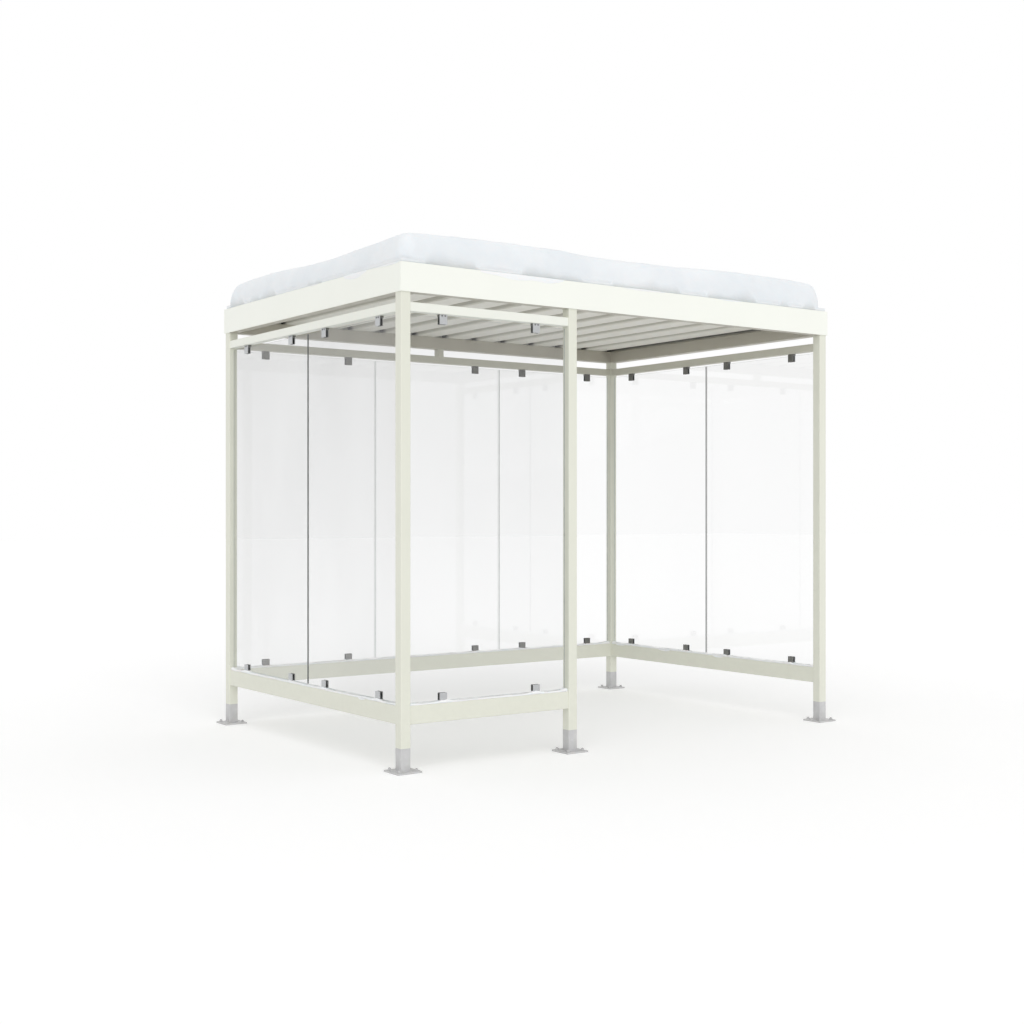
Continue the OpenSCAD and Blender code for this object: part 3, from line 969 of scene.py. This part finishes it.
def snow_lip(axis, face, top, start, end, drop, thick, seed):
    """A closed outline carried along an edge: its bulge and its fall both follow a half sine with noise."""
    s = np.linspace(0, 1, max(fewest_steps, int(abs(end - start) / lip_step)))
    place = start + (end - start) * s
    swell = (0.12 + 0.88 * np.sin(math.pi * s) ** 0.6) * (1 + 0.3 * lumps(place, place * 0, 0.13, seed))
    front_out = lip_out[None, :] * thick * swell[:, None]
    front_z = (lip_top - lip_fall[None, :] * drop) * swell[:, None]
    back_out = np.full((len(s), 2), -wall_gap)
    back_z = np.column_stack([-drop * swell, np.zeros(len(s))])
    points = np.zeros((len(s), len(lip_out) + 2, 3))
    points[..., 1 - axis] = face - np.concatenate([front_out, back_out], 1)
    points[..., axis] = place[:, None]
    points[..., 2] = top + np.concatenate([front_z, back_z], 1)
    count, n = points.shape[1], len(s)
    i, j = np.meshgrid(np.arange(n - 1), np.arange(count), indexing="ij")
    k = (j + 1) % count
    a, b = i * count, (i + 1) * count
    quads = np.stack([a + j, a + k, b + k, b + j], -1).reshape(-1, 4)
    caps = [np.arange(count)[None, ::-1], ((n - 1) * count + np.arange(count))[None, :]]
    blocks = [quads, *caps]
    if axis == 1:
        blocks = [block[:, ::-1] for block in blocks]
    return points.reshape(-1, 3), blocks


# %% Where the lips hang
left_rail, right_rail = corners("lower_rail_left"), corners("lower_rail_right")
edges = {
    "roof left": (1, corners("fascia_left")[0][0], roof_top),
    "roof front": (0, corners("fascia_front")[0][1], roof_top),
    "left rail": (1, left_rail[0][0], left_rail[1][2]),
    "right rail": (1, right_rail[0][0], right_rail[1][2]),
}
# Each lip's edge, where it starts and ends along it, how far it falls and how thick it is.
lip_places = [
    ("roof left", -0.76, -0.50, 0.024, 0.004),
    ("roof left", -1.115, -0.86, 0.009, 0.004),
    ("roof left", -0.20, -0.06, 0.007, 0.003),
    ("roof front", -1.14, -0.56, 0.032, 0.003),
    ("roof front", -0.12, 0.22, 0.010, 0.003),
    ("roof front", 0.66, 0.86, 0.008, 0.003),
    ("left rail", -0.72, -0.645, 0.009, 0.004),
    ("right rail", 0.89, 1.0, 0.010, 0.004),
    ("right rail", 0.37, 0.50, 0.010, 0.004),
    ("right rail", -0.20, -0.09, 0.010, 0.004),
]
first_lip_seed = 60
lips = [snow_lip(*edges[edge], *sizes, first_lip_seed + number)
        for number, (edge, *sizes) in enumerate(lip_places)]
add_piece("snow_lips", *join(lips), [fresh_snow], "snow")

# %% [markdown]
# ## Floor, light and camera
#
# The shelter stands on a plain white floor that shows only its soft shadow. The world is white to the
# camera and in reflections, and a little dimmer as a light, so that pale paint doesn't burn out. The only
# lamp is so far off that its light is as strong at one end of the shelter as at the other. It stands in
# front, a little to the left and about 31 degrees up, and it is broad, so its shadows are soft. Its light
# slants in below the roof's edge, which leaves the ceiling and the inner faces of the top beams in soft
# shade.

# %% Floor
def seen_directly(tree):
    """1 for rays from the camera, a mirror or through glass, and 0 for the rays that carry light."""
    path = node(tree, "LightPath")
    mirrored = maths(tree, "MAXIMUM", path.outputs["Is Glossy Ray"], path.outputs["Is Transmission Ray"])
    return maths(tree, "MAXIMUM", path.outputs["Is Camera Ray"], mirrored)


floor_bounce = (0.92, 0.92, 0.92)
floor_seen = (0.98, 0.98, 0.98)
floor_glow = 0.135
floor_reach = 60.0


def white_floor():
    """White where it is seen, except in shadow, and a slightly quieter white as a source of bounced light."""
    material, tree, shader = new_material("white_floor", Roughness=0.9, Specular_IOR_Level=0.0)
    seen = seen_directly(tree)
    tree.links.new(mix(tree, seen, floor_bounce, floor_seen), shader.inputs["Base Color"])
    shader.inputs["Emission Color"].default_value = (1, 1, 1, 1)
    tree.links.new(maths(tree, "MULTIPLY", seen, floor_glow), shader.inputs["Emission Strength"])
    return material


floor_mesh = bpy.data.meshes.new("floor")
floor_corners = [(floor_reach * x, floor_reach * y, 0) for x, y in ((-1, -1), (1, -1), (1, 1), (-1, 1))]
floor_mesh.from_pydata(floor_corners, [], [(0, 1, 2, 3)])
floor_mesh.materials.append(white_floor())
floor = bpy.data.objects.new("floor", floor_mesh)
bpy.context.scene.collection.objects.link(floor)
floor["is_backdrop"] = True
print("floor", 2 * floor_reach, "m wide")

# %% World and lamp
daylight = 0.74
world = bpy.data.worlds.new("studio")
bpy.context.scene.world = world
world.use_nodes = True
sky = world.node_tree
background = sky.nodes["Background"]
background.inputs["Color"].default_value = (1, 1, 1, 1)
strength = ramp(sky, seen_directly(sky), 0.0, 1.0, daylight, 1.0)
sky.links.new(strength, background.inputs["Strength"])

lamp_distance = 12.0


def far_lamp(name, azimuth, elevation, spread, power):
    """A sun lamp. Azimuth 0 is in front and 90 on the right, and spread in degrees softens its shadow."""
    data = bpy.data.lights.new(name, "SUN")
    data.angle = math.radians(spread)
    data.energy = power
    a, e = math.radians(azimuth), math.radians(elevation)
    way = Vector((math.sin(a) * math.cos(e), -math.cos(a) * math.cos(e), math.sin(e)))
    lamp = bpy.data.objects.new(name, data)
    lamp.location = way * lamp_distance
    lamp.rotation_euler = way.to_track_quat("Z", "Y").to_euler()
    bpy.context.scene.collection.objects.link(lamp)
    print(name, "lamp", elevation, "degrees up")


far_lamp("key", -30, 31, 60, 1.0)

# %% Camera
camera_place = (-5.553, -7.597, 1.389)
camera_turn = math.radians(35.548)
camera_data = bpy.data.cameras.new("camera")
camera_data.lens = 50.0
camera_data.sensor_width = 36.0
camera = bpy.data.objects.new("camera", camera_data)
camera.location = camera_place
camera.rotation_euler = (math.pi / 2, 0.0, -camera_turn)
bpy.context.scene.collection.objects.link(camera)
bpy.context.scene.camera = camera
bpy.context.scene.view_settings.view_transform = "Standard"
print("camera", camera_place)

# %% Print the size of what is drawn
low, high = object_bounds()
print("visual box", [round(v, 3) for v in low], [round(v, 3) for v in high])
